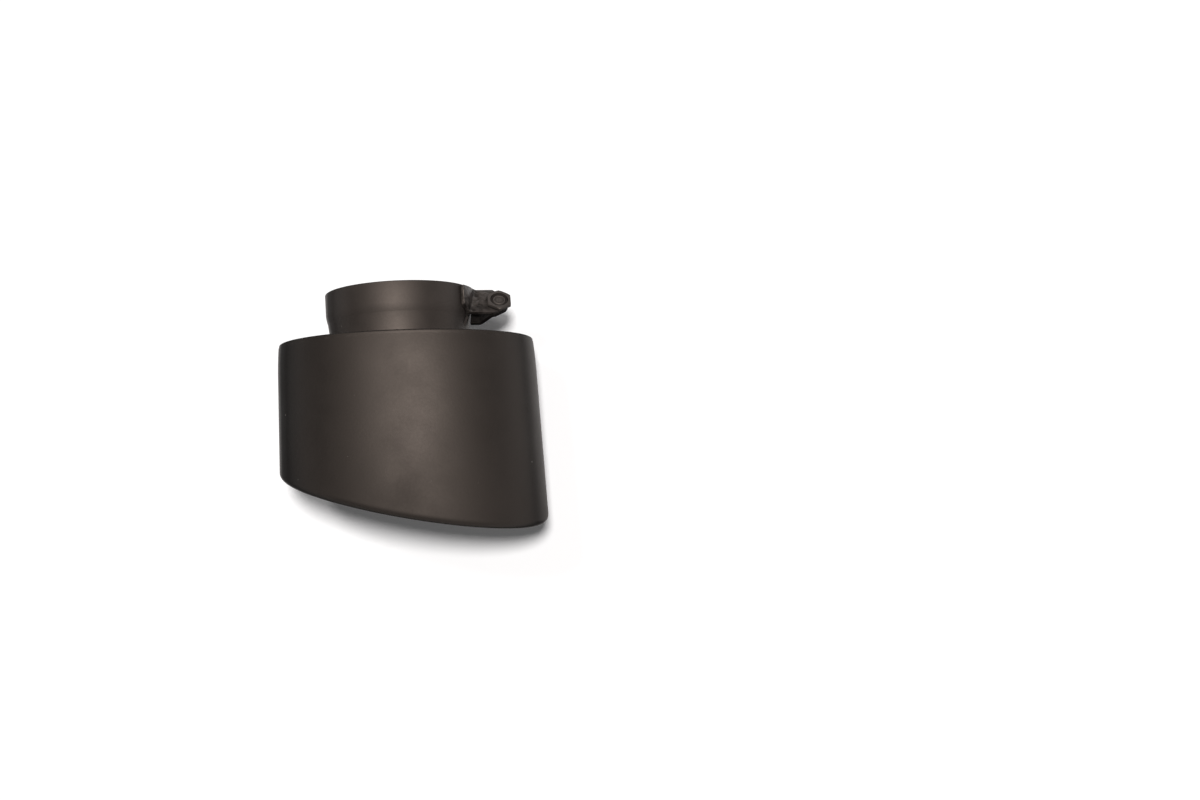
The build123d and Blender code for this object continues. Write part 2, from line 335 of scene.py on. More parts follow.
def oval_at(distance, inset=0.0):
    """Centre and half sizes of the sleeve at a distance behind the plate's front, before the body's turn."""
    sleeve = bpy.context.scene.tip_sleeve
    plate = bpy.context.scene.tip_plate
    down = body_place().inverted().to_3x3() @ Vector((0, 0, -1))

    def plain_section(distance):
        along = distance / sleeve.run
        half_width = (sleeve.front_width + (sleeve.outlet_width - sleeve.front_width) * along) / 2
        half_height = (sleeve.front_height + (sleeve.outlet_height - sleeve.front_height) * along) / 2
        middle = Vector((sleeve.offset + sleeve.outlet_shift * along, -plate.reach - distance, 0.0))
        level = middle.dot(down) + hypot(half_width * down.x, half_height * down.z)
        return middle, half_width, half_height, level

    middle, half_width, half_height, level = plain_section(distance)
    front_level = plain_section(0.0)[-1]
    middle.z = (front_level - level) / down.z
    loss = inset + sleeve.draw_in * max(0.0, 1.0 - distance / sleeve.draw_run) ** 2
    return middle, half_width - loss, half_height - loss


def outlet_cut():
    """A point and the outward normal of the outlet's slanting cut, before the body's turn."""
    sleeve = bpy.context.scene.tip_sleeve
    normal = Vector((-tan(sleeve.plan_angle), -1.0, -tan(sleeve.rake_angle))).normalized()
    return oval_at(sleeve.run)[0], normal


def rest_place():
    """Roll of the whole tip, as it lies at rest."""
    return Matrix.Rotation(bpy.context.scene.tip_sleeve.rest_roll, 4, "Y")


def body_place():
    """Place of sleeve and plate: turned against the collar, then rolled."""
    return rest_place() @ Matrix.Rotation(-bpy.context.scene.tip_sleeve.turn, 4, "Z")


def neck_shift():
    """How far the neck lies beside the body's own axis at the plate's front, before the body's turn."""
    return bpy.context.scene.tip_plate.reach * tan(bpy.context.scene.tip_sleeve.turn)


def clamp_place():
    """Frame of the clamp: origin on the bolt between the ears, x outwards, z along the bolt."""
    sizes = bpy.context.scene.tip_clamp
    lean, tilt = sizes.bolt_lean, sizes.bolt_tilt
    bolt = Vector((sin(lean), cos(lean) * sin(tilt), cos(lean) * cos(tilt)))
    outwards = (Vector((1, 0, 0)) - bolt * bolt.x).normalized()
    outwards.rotate(Matrix.Rotation(sizes.turn, 3, bolt))
    origin = Vector(sizes.head_face) - bolt * (sizes.ear_gap / 2 + sizes.ear_thickness + sizes.head_height)
    turned = Matrix((outwards, bolt.cross(outwards), bolt)).transposed()
    return rest_place() @ Matrix.Translation(origin) @ turned.to_4x4()


def wire(tree, value, socket):
    """Feeds a socket from another socket, or sets it to a plain value."""
    if isinstance(value, NodeSocket):
        tree.links.new(value, socket)
    else:
        socket.default_value = value


def math_node(tree, operation, *operands, clamp=False):
    """Math node whose operands are sockets or numbers; returns its result socket."""
    node = tree.nodes.new("ShaderNodeMath")
    node.operation = operation
    node.use_clamp = clamp
    for operand, socket in zip(operands, node.inputs):
        wire(tree, operand, socket)
    return node.outputs[0]


def vector_node(tree, operation, *operands):
    """Vector math node whose operands are sockets or vectors; returns its output sockets."""
    node = tree.nodes.new("ShaderNodeVectorMath")
    node.operation = operation
    for operand, socket in zip(operands, node.inputs):
        wire(tree, operand, socket)
    return node.outputs


def object_place(tree):
    """Socket with the place on the object in its own coordinates."""
    return tree.nodes.new("ShaderNodeTexCoord").outputs["Object"]


def split_vector(tree, vector):
    """Sockets X, Y and Z of a vector."""
    node = tree.nodes.new("ShaderNodeSeparateXYZ")
    wire(tree, vector, node.inputs["Vector"])
    return node.outputs


def noise_node(tree, place, scale, detail=2.0, roughness=0.55):
    """Noise over the object's own coordinates; returns its value socket."""
    node = tree.nodes.new("ShaderNodeTexNoise")
    node.inputs["Detail"].default_value = detail
    node.inputs["Roughness"].default_value = roughness
    wire(tree, place, node.inputs["Vector"])
    wire(tree, scale, node.inputs["Scale"])
    return node.outputs["Fac"]


def window(tree, value, low, high):
    """Smooth step from 0 at low to 1 at high, which are sockets or numbers; returns its result socket."""
    node = tree.nodes.new("ShaderNodeMapRange")
    node.interpolation_type = "SMOOTHSTEP"
    wire(tree, value, node.inputs["Value"])
    wire(tree, low, node.inputs["From Min"])
    wire(tree, high, node.inputs["From Max"])
    return node.outputs["Result"]


def mix_colour(tree, factor, first, second):
    """Mixes two colours, each a socket or a triple; returns the result socket."""
    node = tree.nodes.new("ShaderNodeMix")
    node.data_type = "RGBA"
    wire(tree, factor, node.inputs["Factor"])
    colour_inputs = node.inputs[6:8]
    for value, socket in zip((first, second), colour_inputs):
        wire(tree, value if isinstance(value, NodeSocket) else (*value, 1.0), socket)
    return node.outputs[2]


def sprayed_grain(group, inputs):
    """Fine grain of a sprayed coating: a height for the bump and a slow mottle."""
    coarse_share = 0.27
    fine_weight = 0.45
    place = object_place(group)
    fine = noise_node(group, place, inputs["Grain Scale"])
    coarse = noise_node(group, place, math_node(group, "MULTIPLY", inputs["Grain Scale"], coarse_share))
    height = math_node(group, "MULTIPLY", coarse, 1.0 - fine_weight)
    height = math_node(group, "MULTIPLY_ADD", fine, fine_weight, height)
    return {"Height": height, "Mottle": noise_node(group, place, inputs["Mottle Scale"])}


def rubbed_edges(group, inputs):
    """Rubbed convex edges, broken up by noise."""
    sharpness = group.nodes.new("ShaderNodeNewGeometry").outputs["Pointiness"]
    edge = window(group, sharpness, low=0.53, high=0.62)
    noise = noise_node(group, object_place(group), inputs["Patch Scale"], detail=4.0)
    rubbed = math_node(group, "MULTIPLY", edge, window(group, noise, low=0.42, high=0.66))
    return {"Mask": math_node(group, "MULTIPLY", rubbed, inputs["Amount"])}


def dust_specks(group, inputs):
    """Sparse small dust specks."""
    largest = 0.16
    cells = group.nodes.new("ShaderNodeTexVoronoi")
    wire(group, object_place(group), cells.inputs["Vector"])
    wire(group, inputs["Speck Scale"], cells.inputs["Scale"])
    chance = group.nodes.new("ShaderNodeSeparateColor")
    wire(group, cells.outputs["Color"], chance.inputs["Color"])
    chosen = math_node(group, "LESS_THAN", chance.outputs["Red"], inputs["Density"])
    size = math_node(group, "MULTIPLY", chance.outputs["Green"], largest)
    near = math_node(group, "LESS_THAN", cells.outputs["Distance"], size)
    return {"Mask": math_node(group, "MULTIPLY", chosen, near)}


def heat_dulling(group, inputs):
    """How far exhaust heat has dulled a coating, growing towards the outlet."""
    along = split_vector(group, object_place(group))["Y"]
    return {"Mask": window(group, along, low=inputs["Start"], high=inputs["End"])}


def dull_smudge(group, inputs):
    """Dull finger mark on the sleeve near the outlet, with a broken edge."""
    raggedness = 0.006
    place = object_place(group)
    away = vector_node(group, "DISTANCE", place, bpy.context.scene.tip_coating.smudge_place)["Value"]
    noise = noise_node(group, place, scale=260.0, detail=3.0)
    ragged = math_node(group, "MULTIPLY_ADD", noise, raggedness, away)
    near = math_node(group, "DIVIDE", ragged, inputs["Reach"])
    return {"Mask": window(group, near, low=1.4, high=0.4)}


def dish_ring_shade(group, inputs):
    """Painted shade in the ring groove and the hollow of the bolt's head, as rings round the bolt's axis."""
    hollow_share = 0.45
    sizes = bpy.context.scene.tip_clamp
    head = clamp_place()
    offset = vector_node(group, "SUBTRACT", object_place(group), head.translation)["Vector"]
    around = vector_node(group, "CROSS_PRODUCT", offset, head.col[2].to_3d())["Vector"]
    radius = vector_node(group, "LENGTH", around)["Value"]

    def ring(inner, inner_full, outer_full, outer):
        rise = window(group, radius, low=inner, high=inner_full)
        return math_node(group, "MULTIPLY", rise, window(group, radius, low=outer, high=outer_full))

    soft = sizes.dish_slope
    pad, dish, hollow = sizes.pad_radius, sizes.dish_radius, sizes.hollow_radius
    groove = ring(pad, pad + 2 * soft, dish, dish + soft)
    inner_ring = ring(hollow / 2, hollow - soft, hollow, hollow + 2 * soft)
    rings = math_node(group, "MAXIMUM", groove, math_node(group, "MULTIPLY", inner_ring, hollow_share))
    return {"Mask": math_node(group, "MULTIPLY", rings, inputs["Amount"])}


# Shared effects: what fills each group, and its inputs with their defaults
effects = {
    "Sprayed grain": (sprayed_grain, {"Grain Scale": 2600.0, "Mottle Scale": 60.0}),
    "Rubbed edges": (rubbed_edges, {"Amount": 1.0, "Patch Scale": 420.0}),
    "Dust specks": (dust_specks, {"Density": 0.03, "Speck Scale": 380.0}),
    "Heat dulling": (heat_dulling, {"Start": -0.065, "End": -0.15}),
    "Dull smudge": (dull_smudge, {"Reach": 0.0115}),
    "Dish ring shade": (dish_ring_shade, {"Amount": 1.0}),
}


def shared_group(name):
    """Node group of a shared effect, built the first time that it is asked for."""
    if name in bpy.data.node_groups:
        return bpy.data.node_groups[name]
    fill, inputs = effects[name]
    group = bpy.data.node_groups.new(name, "ShaderNodeTree")
    for label, default in inputs.items():
        socket = group.interface.new_socket(label, in_out="INPUT", socket_type="NodeSocketFloat")
        socket.default_value = default
    results = fill(group, group.nodes.new("NodeGroupInput").outputs)
    leave = group.nodes.new("NodeGroupOutput")
    for label, result in results.items():
        group.interface.new_socket(label, in_out="OUTPUT", socket_type="NodeSocketFloat")
        wire(group, result, leave.inputs[label])
    return group


def place_group(tree, name, **values):
    """Places a shared effect in a material with its own values; returns its output sockets."""
    node = tree.nodes.new("ShaderNodeGroup")
    node.node_tree = shared_group(name)
    for label, value in values.items():
        node.inputs[label.replace("_", " ")].default_value = value
    return node.outputs


def flank_gloss(tree, plain_level):
    """Specular level: plain on top, lower on flanks seen at a slant, less so at the clamp side's rim."""
    flank_loss = 0.47
    rim_spared = 0.6
    facing = tree.nodes.new("ShaderNodeLayerWeight").outputs["Facing"]
    grazing = window(tree, facing, low=0.72, high=0.92)
    slant = math_node(tree, "SUBTRACT", window(tree, facing, low=0.2, high=0.58), grazing)
    normal = split_vector(tree, tree.nodes.new("ShaderNodeNewGeometry").outputs["Normal"])
    flank = window(tree, normal["Z"], low=0.95, high=0.76)
    rim = window(tree, normal["X"], low=0.88, high=0.99)
    unspared = math_node(tree, "MULTIPLY_ADD", rim, -rim_spared, 1.0)
    fade = math_node(tree, "MULTIPLY", math_node(tree, "MULTIPLY", slant, flank), unspared)
    return math_node(tree, "MULTIPLY_ADD", fade, -flank_loss, plain_level)


def painted_shade_mask(tree, corner_shade, dish):
    """Painted shade in corners and creases, found by occlusion, and on the bolt in the rings of its head."""
    reach = 0.0014
    corners = tree.nodes.new("ShaderNodeAmbientOcclusion")
    corners.inputs["Distance"].default_value = reach
    mask = math_node(tree, "MULTIPLY", window(tree, corners.outputs["AO"], low=0.97, high=0.6), corner_shade)
    if dish:
        mask = math_node(tree, "MAXIMUM", mask, place_group(tree, "Dish ring shade", Amount=dish)["Mask"])
    return mask


def bump_node(tree, height, strength, distance):
    """Bump node fed by a height socket."""
    node = tree.nodes.new("ShaderNodeBump")
    node.inputs["Strength"].default_value = strength
    node.inputs["Distance"].default_value = distance
    wire(tree, height, node.inputs["Height"])
    return node


def make_coating(
    name, base, roughness, grain, *, gloss=1.616, mottle=0.12, mottle_scale=60.0, wear=0.0, specks=0.0,
    dulling=0.0, smudge=0.0, corner_shade=0.0, dish=0.0, lumps=0.0
):
    """Sprayed black coating, made the first time that it is asked for; an effect left at 0 is left out."""
    if name in bpy.data.materials:
        return bpy.data.materials[name]
    grain_height = 0.00012
    mottle_roughness, grain_roughness, shade_roughness = 0.12, 0.1, 0.4
    looks = bpy.context.scene.tip_coating
    coating = bpy.data.materials.new(name)
    coating.use_nodes = True
    tree = coating.node_tree
    shader = tree.nodes["Principled BSDF"].inputs
    shader["IOR"].default_value = gloss
    shader["Specular Tint"].default_value = (*looks.sheen_colour, 1.0)
    level = shader["Specular IOR Level"]
    wire(tree, flank_gloss(tree, level.default_value), level)

    spray = place_group(tree, "Sprayed grain", Mottle_Scale=mottle_scale)
    darker, lighter = ([channel * depth for channel in base] for depth in (1.0 - mottle, 1.0 + mottle))
    paint = mix_colour(tree, window(tree, spray["Mottle"], low=0.3, high=0.7), darker, lighter)
    # Mottle and grain both average about one half, so the mean roughness stays near the given one
    dull = roughness - (mottle_roughness + grain_roughness) / 2
    dull = math_node(tree, "MULTIPLY_ADD", spray["Mottle"], mottle_roughness, dull)
    dull = math_node(tree, "MULTIPLY_ADD", spray["Height"], grain_roughness, dull)
    if wear:
        edges = place_group(tree, "Rubbed edges", Amount=wear)["Mask"]
        paint = mix_colour(tree, edges, paint, looks.worn_colour)
    if specks:
        dust = place_group(tree, "Dust specks", Density=specks)["Mask"]
        paint = mix_colour(tree, dust, paint, looks.speck_colour)
    for effect, amount in {"Heat dulling": dulling, "Dull smudge": smudge}.items():
        if amount:
            dull = math_node(tree, "MULTIPLY_ADD", place_group(tree, effect)["Mask"], amount, dull)
    # Painted shade: occluded corners and the bolt head's rings get a near-black colour and more roughness
    if corner_shade:
        painted_shade = painted_shade_mask(tree, corner_shade, dish)
        paint = mix_colour(tree, painted_shade, paint, looks.painted_shade_colour)
        dull = math_node(tree, "MULTIPLY_ADD", painted_shade, shade_roughness, dull, clamp=True)
    bump = bump_node(tree, spray["Height"], grain, grain_height)
    if lumps:
        relief = bump_node(tree, spray["Mottle"], 1.0, lumps)
        wire(tree, relief.outputs["Normal"], bump.inputs["Normal"])
    wire(tree, paint, shader["Base Color"])
    wire(tree, dull, shader["Roughness"])
    wire(tree, bump.outputs["Normal"], shader["Normal"])
    return coating


def body_coating():
    """Matte coating of sleeve and plate."""
    looks = bpy.context.scene.tip_coating
    return make_coating(
        "matte_black_coating", looks.body_colour, looks.body_roughness, looks.body_grain,
        wear=0.2, specks=0.012, dulling=looks.outlet_dulling, smudge=looks.smudge_dulling,
    )


def collar_coating():
    """Lighter copy of the body's matte coating for the collar and its weld: painted light for the brighter
    collar band.
    """
    looks = bpy.context.scene.tip_coating
    return make_coating(
        "lit_collar_coating", looks.collar_colour, looks.body_roughness, looks.body_grain,
        wear=0.2, specks=0.012,
    )


def clamp_coating():
    """Satin coating of the upper lug, thick and mottled, with painted shade in its corners."""
    looks = bpy.context.scene.tip_coating
    return make_coating(
        "satin_black_coating", looks.clamp_colour, looks.clamp_roughness, looks.clamp_grain,
        mottle=0.75, mottle_scale=210.0, wear=0.4, specks=0.02, corner_shade=0.95, lumps=looks.clamp_lumps,
    )


def bolt_coating():
    """Even satin coating of the bolt, with painted shade in its corners and in the rings of its head."""
    looks = bpy.context.scene.tip_coating
    return make_coating(
        "even_black_coating", looks.bolt_colour, looks.dull_roughness, looks.clamp_grain,
        mottle=0.15, corner_shade=0.97, dish=0.95,
    )


def shaded_lug_coating():
    """Near-black, duller coating of the lower lug: painted shade for the shade under the upper ear and the
    bolt head.
    """
    looks = bpy.context.scene.tip_coating
    return make_coating(
        "shaded_lug_black", looks.shaded_lug_colour, looks.dull_roughness, looks.clamp_grain, gloss=1.297,
        mottle=0.3, mottle_scale=210.0, wear=0.4, specks=0.02, corner_shade=0.95, lumps=looks.clamp_lumps,
    )


class TIP_OT_sleeve(Operator):
    """Model the flared oval sleeve with its slash-cut, rolled-in lip"""

    bl_idname = "exhaust_tip.sleeve"
    bl_label = "Outer sleeve"
    # Distances behind the plate's front at which the oval is drawn
    draw_in_stations = (0.0035, 0.0055, 0.008, 0.011, 0.0145)
    flare_stations = (0.03, 0.045, 0.058)
    # Rim edges of the cut bend by more than this, and the outer rim lies past this share of the oval
    rim_bend = radians(30)
    outer_rim = 0.96
    roll_steps = 9

    def execute(self, context):
        sizes = context.scene.tip_sleeve
        slant = tan(sizes.plan_angle) * sizes.outlet_width + tan(sizes.rake_angle) * sizes.outlet_height
        stations = [context.scene.tip_plate.thickness, *self.draw_in_stations, sizes.draw_run]
        stations += [*self.flare_stations, sizes.run + slant / 2]
        skin = draw_through("outer_sleeve_skin", [oval_at(distance) for distance in stations])
        self.slash(skin)
        self.turn_lip(skin)
        close_up(skin)
        self.roll_edges(skin)
        apply_modifier(skin, "SOLIDIFY", thickness=sizes.wall, offset=-1.0)
        put_in_place(skin, body_place())
        self.grind_seam(skin)
        hand_over(skin, "outer_sleeve", body_coating())
        return {"FINISHED"}

    def slash(self, piece):
        """Cuts the tube off in the outlet's plane."""
        middle, normal = outlet_cut()
        edit(piece)
        bpy.ops.mesh.bisect(plane_co=middle, plane_no=normal, clear_outer=True)
        start_over()

    def on_cut(self, place):
        """Whether a point lies in the outlet's plane."""
        middle, normal = outlet_cut()
        return abs((place - middle).dot(normal)) < MERGE_DISTANCE

    def turn_lip(self, piece):
        """Turns the rim over to a flat ring in the outlet's plane, and then back into the opening."""
        sizes = bpy.context.scene.tip_sleeve
        middle, normal = outlet_cut()
        half_width, half_height = oval_at(sizes.run)[1:]
        across = Vector((1.0, -tan(sizes.plan_angle), 0.0)).normalized()
        pick(piece, "EDGE", self.on_cut)
        bpy.ops.mesh.extrude_region_move()
        bpy.ops.transform.resize(
            value=(1 - sizes.lip_width / half_width, 1 - sizes.lip_width / half_height, 1.0),
            orient_matrix=(across, normal.cross(across), normal),
            orient_matrix_type="GLOBAL",
            center_override=middle,
        )
        back = Vector((0.0, -sizes.return_depth / normal.y, 0.0))
        bpy.ops.mesh.extrude_region_move(TRANSFORM_OT_translate={"value": back})
        start_over()

    def roll_radius(self, place):
        """Radius of the roll at a place on the outer or the inner rim."""
        sizes = bpy.context.scene.tip_sleeve
        centre, half_width, half_height = oval_at(-place.y - bpy.context.scene.tip_plate.reach)
        ring = hypot((place.x - centre.x) / half_width, (place.z - centre.z) / half_height)
        return sizes.outer_roll if ring > self.outer_rim else sizes.inner_roll

    def roll_edges(self, piece):
        """Rounds both rims of the lip to a constant radius, whatever the angle there."""
        work = bmesh.new()
        work.from_mesh(piece.data)
        widths = {}
        for edge in work.edges:
            bend = edge.calc_face_angle(0.0)
            if bend > self.rim_bend and all(self.on_cut(vertex.co) for vertex in edge.verts):
                middle = (edge.verts[0].co + edge.verts[1].co) / 2
                widths[edge.index] = self.roll_radius(middle) * tan(bend / 2)
        work.free()
        if len(widths) != 2 * RING_POINTS:
            raise RuntimeError(f"the lip has {len(widths)} rim edges in place of {2 * RING_POINTS}")
        widest = max(widths.values())
        weights = piece.data.attributes.new("bevel_weight_edge", "FLOAT", "EDGE")
        for index, width in widths.items():
            weights.data[index].value = width / widest
        apply_modifier(
            piece, "BEVEL", limit_method="WEIGHT", width=widest, segments=self.roll_steps,
            use_clamp_overlap=False, loop_slide=False,
        )

    def grind_seam(self, piece):
        """Flattens the ground seam that the tip rests on."""
        pick(piece, "VERT", lambda place: place.z < cad_box[0].z)
        bpy.ops.transform.resize(value=(1, 1, 0), center_override=(0, 0, cad_box[0].z))
        start_over()


class TIP_OT_front_plate(Operator):
    """Model the front plate with its rounded edge and the hole for the neck"""

    bl_idname = "exhaust_tip.front_plate"
    bl_label = "Front plate"
    # Width of the band of faces inside the rounded edge
    edge_band = 0.006
    rounding_steps = 7

    def execute(self, context):
        sizes = context.scene.tip_plate
        centre, half_width, half_height = oval_at(sizes.thickness, sizes.inset)
        front_y = -sizes.reach
        back_y = front_y - sizes.thickness

        def hole(y):
            return (neck_shift(), y, 0.0), sizes.hole_radius, sizes.hole_radius

        def outline(y, inset):
            return (centre.x, y, centre.z), half_width - inset, half_height - inset

        ovals = [hole(front_y), outline(front_y, self.edge_band)]
        edge = quarter_round(sizes.rounding, self.rounding_steps)
        ovals += [outline(front_y - back, inset) for back, inset in edge]
        ovals += [outline(back_y, 0.0), outline(back_y, self.edge_band), hole(back_y), hole(front_y)]
        plate = draw_through("front_plate_pressed", ovals)
        close_up(plate)
        put_in_place(plate, body_place())
        hand_over(plate, "front_plate", body_coating())
        return {"FINISHED"}


class TIP_OT_collar(Operator):
    """Model the swaged inlet collar with its slit"""

    bl_idname = "exhaust_tip.collar"
    bl_label = "Inlet collar"
    rim_steps = 4
    shoulder_steps = 14
    slit_points = 32

    def execute(self, context):
        sizes = context.scene.tip_collar
        outside = self.wall_line(sizes, sizes.wall)
        inside = self.wall_line(sizes, 0.0)
        edge = quarter_round(sizes.rim_rounding, self.rim_steps)
        rim = [(sizes.bore_radius + sizes.wall - inset, -back) for inset, back in edge]
        meridian = outside + rim + [(sizes.bore_radius, 0.0)] + inside[::-1]
        meridian.append(meridian[0])
        ovals = [((0.0, y, 0.0), radius, radius) for radius, y in meridian]
        collar = draw_through("inlet_collar_swaged", ovals)
        close_up(collar)
        self.cut_slit(collar, sizes)
        hand_over(collar, "inlet_collar", collar_coating())
        return {"FINISHED"}

    def wall_line(self, sizes, out):
        """Radius and place along the axis from the neck's end by way of taper and shoulder to the band."""
        band = sizes.bore_radius + out
        neck = sizes.neck_bore_radius + out
        crease_y = -sizes.band_length - sizes.shoulder_length
        points = [(neck, -sizes.reach), (neck, crease_y - sizes.taper_length)]
        for step in range(self.shoulder_steps + 1):
            along = 1 - step / self.shoulder_steps
            radius = band - sizes.shoulder_drop * along**sizes.shoulder_curve
            points.append((radius, -sizes.band_length - sizes.shoulder_length * along))
        points.append((band, -sizes.band_length / 2))
        return points

    def cut_slit(self, piece, sizes):
        """Cuts the slit square to the bolt, with a round end."""
        slit = clamp_place() @ Matrix.Translation((0.0, 0.0, -sizes.slit_drop))
        rim = slit.inverted() @ rest_place() @ Vector((sizes.bore_radius + sizes.wall, 0.0, 0.0))
        reach = bpy.context.scene.tip_clamp.head_face.x
        cutter = add_cylinder(self.slit_points, sizes.slit_width / 2, reach)
        half_step = pi / self.slit_points
        put_in_place(cutter, Matrix.Rotation(pi / 2, 4, "Y") @ Matrix.Rotation(half_step, 4, "Z"))
        pick(cutter, "VERT", lambda place: place.y > 0)
        bpy.ops.transform.translate(value=(0, 2 * sizes.slit_depth, 0))
        start_over()
        put_in_place(cutter, slit @ Matrix.Translation((-reach / 2, rim.y - sizes.slit_depth, 0.0)))
        combine(piece, cutter, "DIFFERENCE")


class TIP_OT_collar_weld(Operator):
    """Model the rippled weld bead between neck and front plate"""

    bl_idname = "exhaust_tip.collar_weld"
    bl_label = "Collar weld"
    face_steps = 8
    # Points along one ripple, and how strongly ripples lean in the middle of the bead
    phases = 6
    lean = 1.6

    def execute(self, context):
        sizes = context.scene.tip_weld
        ovals = []
        for out, up in self.profile(sizes):
            radius = sizes.inner_radius + out
            ovals.append(((neck_shift(), up - context.scene.tip_plate.reach, 0.0), radius, radius))
        bead = draw_through("collar_weld_bead", ovals, sizes.ripples * self.phases)
        close_up(bead)
        self.press_ripples(bead)
        put_in_place(bead, body_place())
        hand_over(bead, "collar_weld", collar_coating(), smooth_degrees=60.0)
        return {"FINISHED"}

    def profile(self, sizes):
        """Section of the bead, as distances out from the neck and up from the plate.

        Its face is an arc through both leg ends and the bulge, with its centre on the corner's diagonal.
        """
        leg, bulge = sizes.leg, sizes.bulge
        middle = (leg * leg - 2 * bulge * bulge) / (2 * leg - 4 * bulge)
        radius = hypot(leg - middle, middle)
        first = atan2(-middle, leg - middle)
        last = pi / 2 - first
        points = [(0.0, 0.0), (leg, 0.0)]
        for step in range(1, self.face_steps):
            turn = first + (last - first) * step / self.face_steps
            points.append((middle + radius * cos(turn), middle + radius * sin(turn)))
        return points + [(0.0, leg), (0.0, 0.0)]

    def press_ripples(self, piece):
        """Presses the dips between the ripples into the bead's face; the ripples lean as the weld ran."""
        sizes = bpy.context.scene.tip_weld
        shift = neck_shift()
        front_y = -bpy.context.scene.tip_plate.reach

        def phase_at(place):
            out = hypot(place.x - shift, place.z) - sizes.inner_radius
            if min(out, place.y - front_y) <= FACE_MARGIN:
                return None
            lean = self.lean * (out / sizes.leg) * (1 - out / sizes.leg)
            turn = atan2(place.z, place.x - shift) / (2 * pi) * sizes.ripples + lean
            return int((turn % 1.0) * self.phases)

        for phase in range(self.phases):
            depth = sizes.ripple * (1 - cos(2 * pi * (phase + 0.5) / self.phases)) / 2
            pick(piece, "VERT", lambda place: phase_at(place) == phase)
            bpy.ops.transform.shrink_fatten(value=-depth)
        start_over()


class TIP_OT_clamp_lugs(Operator):
    """Break the punched edges of both clamp lugs"""

    bl_idname = "exhaust_tip.clamp_lugs"
    bl_label = "Clamp lugs"
    # Edges that bend by less than the first are inside a flat face, and by more than the second are broken
    flat_bend = radians(0.6)
    edge_bend = radians(40)

    def execute(self, context):
        self.press_lug(context, "upper_clamp_lug", clamp_coating())
        self.press_lug(context, "lower_clamp_lug", shaded_lug_coating())
        return {"FINISHED"}

    def press_lug(self, context, node, coating):
        """Copies a lug free of its node, joins its flat faces and breaks its edges."""
        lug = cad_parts[node].copy()
        lug.data = lug.data.copy()
        lug.parent = None
        for key in list(lug.keys()):
            del lug[key]
        name_piece(lug, f"{node}_pressed")
        context.collection.objects.link(lug)
        edit(lug)
        bpy.ops.mesh.remove_doubles(threshold=MERGE_DISTANCE)
        bpy.ops.mesh.dissolve_limited(angle_limit=self.flat_bend)
        edge_break = context.scene.tip_clamp.edge_break
        apply_modifier(
            lug, "BEVEL", limit_method="ANGLE", angle_limit=self.edge_bend, width=edge_break, segments=2
        )
        hand_over(lug, node, coating, smooth_degrees=40.0)


class TIP_OT_clamp_bolt(Operator):
    """Model the hex bolt with its dished head"""

    bl_idname = "exhaust_tip.clamp_bolt"
    bl_label = "Clamp bolt"
    flats = 6
    head_points = 96
    shank_points = 64
    # How far the shank's blank reaches into the head
    shank_root = 0.0005
    # Shares of the hollow's radius at which its flat ring ends and its middle peaks
    hollow_floor = 0.6
    hollow_peak = 0.08
    # Edges that bend by more than this are rounded
    edge_bend = radians(22)

    def execute(self, context):
        sizes = context.scene.tip_clamp
        bottom = sizes.ear_gap / 2 + sizes.ear_thickness
        corner = sizes.across_flats / 2 / cos(pi / self.flats)
        head = self.turn_head(sizes, bottom, corner)
        hexagon = add_cylinder(self.flats, corner, 4 * sizes.head_height, bottom)
        combine(head, hexagon, "INTERSECT")
        combine(head, self.turn_shank(sizes, bottom), "UNION")
        width = sizes.bolt_edge
        apply_modifier(
            head, "BEVEL", limit_method="ANGLE", angle_limit=self.edge_bend, width=width, segments=3
        )
        put_in_place(head, clamp_place())
        hand_over(head, "clamp_bolt", bolt_coating(), smooth_degrees=30.0)
        return {"FINISHED"}

    def turn_head(self, sizes, bottom, corner):
        """Round blank of the head with its chamfer, ring groove and hollowed pad."""
        start_over()
        bpy.ops.mesh.primitive_circle_add(
            vertices=self.head_points, radius=corner, fill_type="NGON", location=(0, 0, bottom)
        )
        head = bpy.context.object
        name_piece(head, "clamp_bolt_hex")
        bpy.ops.object.transform_apply(location=True)
        edit(head, "FACE")
        top = bottom + sizes.head_height
        groove_outside = sizes.dish_radius - sizes.dish_slope
        profile = [
            (corner, bottom),
            (corner, top - sizes.corner_drop),
            (corner - sizes.corner_run, top),
            (sizes.dish_radius, top),
            (groove_outside, top - sizes.dish_depth),
            (groove_outside - sizes.groove_width, top - sizes.dish_depth),
            (sizes.pad_radius, top - sizes.pad_drop),
            (sizes.hollow_radius + sizes.dish_slope, top - sizes.pad_drop),
            (sizes.hollow_radius, top - sizes.hollow_drop),
            (sizes.hollow_radius * self.hollow_floor, top - sizes.hollow_drop),
            (sizes.hollow_radius * self.hollow_peak, top - sizes.pad_drop),
        ]
        for start, stop in zip(profile, profile[1:]):
            bpy.ops.mesh.extrude_region_move(TRANSFORM_OT_translate={"value": (0, 0, stop[1] - start[1])})
            factor = stop[0] / start[0]
            bpy.ops.transform.resize(value=(factor, factor, 1), center_override=(0, 0, stop[1]))
        close_up(head)
        return head

    def turn_shank(self, sizes, bottom):
        """Shank through both ears, with a chamfered end."""
        depth = 2 * bottom + self.shank_root
        shank = add_cylinder(self.shank_points, sizes.shank_radius, depth, self.shank_root / 2)
        pick(shank, "EDGE", lambda place: place.z < FACE_MARGIN - bottom)
        bpy.ops.mesh.bevel(offset=sizes.shank_chamfer, segments=2, affect="EDGES")
        start_over()
        return shank


